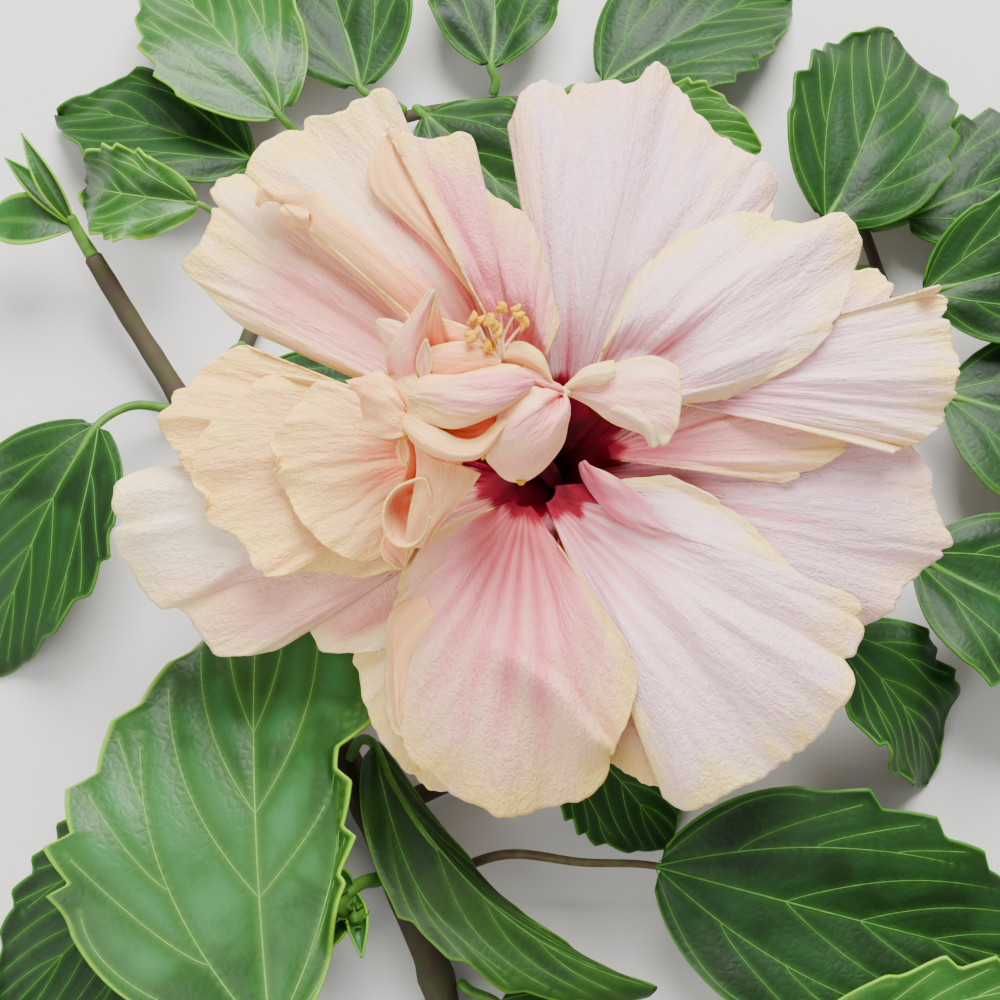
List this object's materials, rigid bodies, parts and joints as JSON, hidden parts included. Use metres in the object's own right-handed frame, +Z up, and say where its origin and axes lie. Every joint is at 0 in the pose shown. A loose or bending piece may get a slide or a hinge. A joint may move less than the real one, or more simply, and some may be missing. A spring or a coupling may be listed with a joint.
{
  "type": "cut hibiscus branch",
  "caption": "Cut hibiscus branch lying flat, with a double pale pink bloom facing up over toothed green leaves, a bud cluster and a young shoot tip.",
  "frame": {"origin": "centre of the bounding box, on the surface that the branch lies on", "axes": "+Z up and out of the bloom, +Y from the cut end of the stem towards the shoot tip, +X to the right"},
  "size_m": [0.2514, 0.2706, 0.0908],
  "materials": {
    "petal": "crepe, pale lilac pink with cream edges and a pink to crimson base",
    "petaloid": "crepe, peach with yellow rims",
    "anther": "powdery golden yellow",
    "leaf": "glossy green with pale veins",
    "calyx": "matt light green",
    "stem": "smooth brown to green bark"
  },
  "bodies": {
    "root": {"petal_right_back": "petal", "petal_lower_right_back": "petal", "petal_lower_left_back": "petal", "petal_bottom_back": "petal", "petal_left": "petal", "petal_upper_left": "petal", "petal_top": "petal", "petal_right_short": "petal", "petal_lower_right": "petal", "petal_upper_left_front": "petal", "petal_right": "petal", "petal_bottom": "petal", "petal_upper_centre": "petal", "petal_upper_right": "petal", "petaloid_left_back": "petaloid", "petaloid_left_middle": "petaloid", "petaloid_left_front": "petaloid", "petaloid_knot": "petaloid", "petaloid_butterfly": "petaloid", "anther_cluster": "anther", "calyx": "calyx", "main_stem": "stem", "flower_stalk": "stem", "twig_right": "stem", "twig_top": "stem", "leaf_front_large": "leaf", "leaf_folded": "leaf", "leaf_lower_right": "leaf", "leaf_corner": "leaf", "leaf_right_low": "leaf", "leaf_under_bloom": "leaf", "leaf_right": "leaf", "leaf_right_middle": "leaf", "leaf_right_upper": "leaf", "leaf_right_high": "leaf", "leaf_far_right": "leaf", "leaf_left_arched": "leaf", "leaf_left_upper": "leaf", "leaf_top_bright": "leaf", "leaf_top": "leaf", "leaf_behind_gap": "leaf", "leaf_top_right": "leaf", "leaf_top_young": "leaf", "leaf_top_middle": "leaf", "leaf_left_hanging": "leaf", "leaf_left_behind": "leaf", "leaf_by_stem": "leaf", "leaf_left_low": "leaf", "bud_cluster": "calyx", "shoot_tip": "leaf"}
  },
  "joints": []
}
